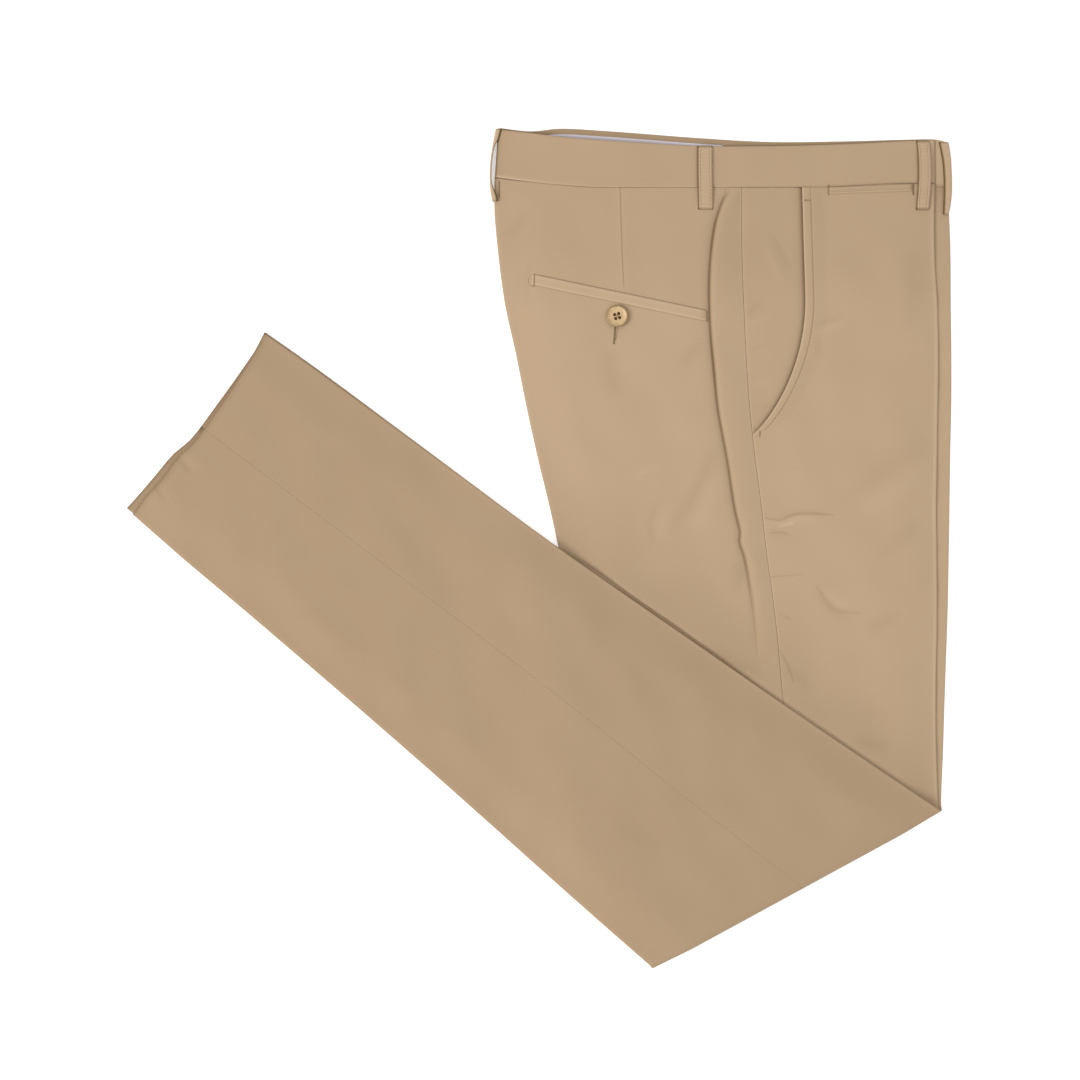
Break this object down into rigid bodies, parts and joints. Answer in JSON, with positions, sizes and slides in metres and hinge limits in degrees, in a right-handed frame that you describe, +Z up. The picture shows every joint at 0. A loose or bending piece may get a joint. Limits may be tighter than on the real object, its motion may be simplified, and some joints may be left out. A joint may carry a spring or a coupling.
{
  "type": "chino trousers",
  "caption": "Beige cotton chino trousers lying flat with one leg on the other, and both legs folded across the knee and over the thighs.",
  "frame": {"origin": "the middle of the outline, on the surface that the trousers lie on", "axes": "+X from the seat towards the fly, +Y from the knee fold towards the waistband, +Z up from the surface"},
  "size_m": [0.678, 0.6906, 0.0103],
  "materials": {
    "cotton_twill": "beige cotton twill, brushed and pressed",
    "lining_cotton": "white cotton lining",
    "button_resin": "tan resin, satin",
    "sewing_thread": "beige and brown cotton thread"
  },
  "bodies": {
    "root": {"right_front_panel": "cotton_twill", "right_back_panel": "cotton_twill", "left_front_panel": "cotton_twill", "left_back_panel": "cotton_twill", "hidden_layers": "cotton_twill", "right_pocket_facing": "cotton_twill", "right_waistband": "cotton_twill", "left_waistband": "cotton_twill", "waistband_lining": "lining_cotton", "belt_loop_centre_back": "cotton_twill", "belt_loop_right_side": "cotton_twill", "belt_loop_right_front": "cotton_twill", "belt_loop_left_front": "cotton_twill", "back_pocket_welt": "cotton_twill", "coin_pocket_welt": "cotton_twill", "back_pocket_button": "button_resin"}
  },
  "joints": []
}
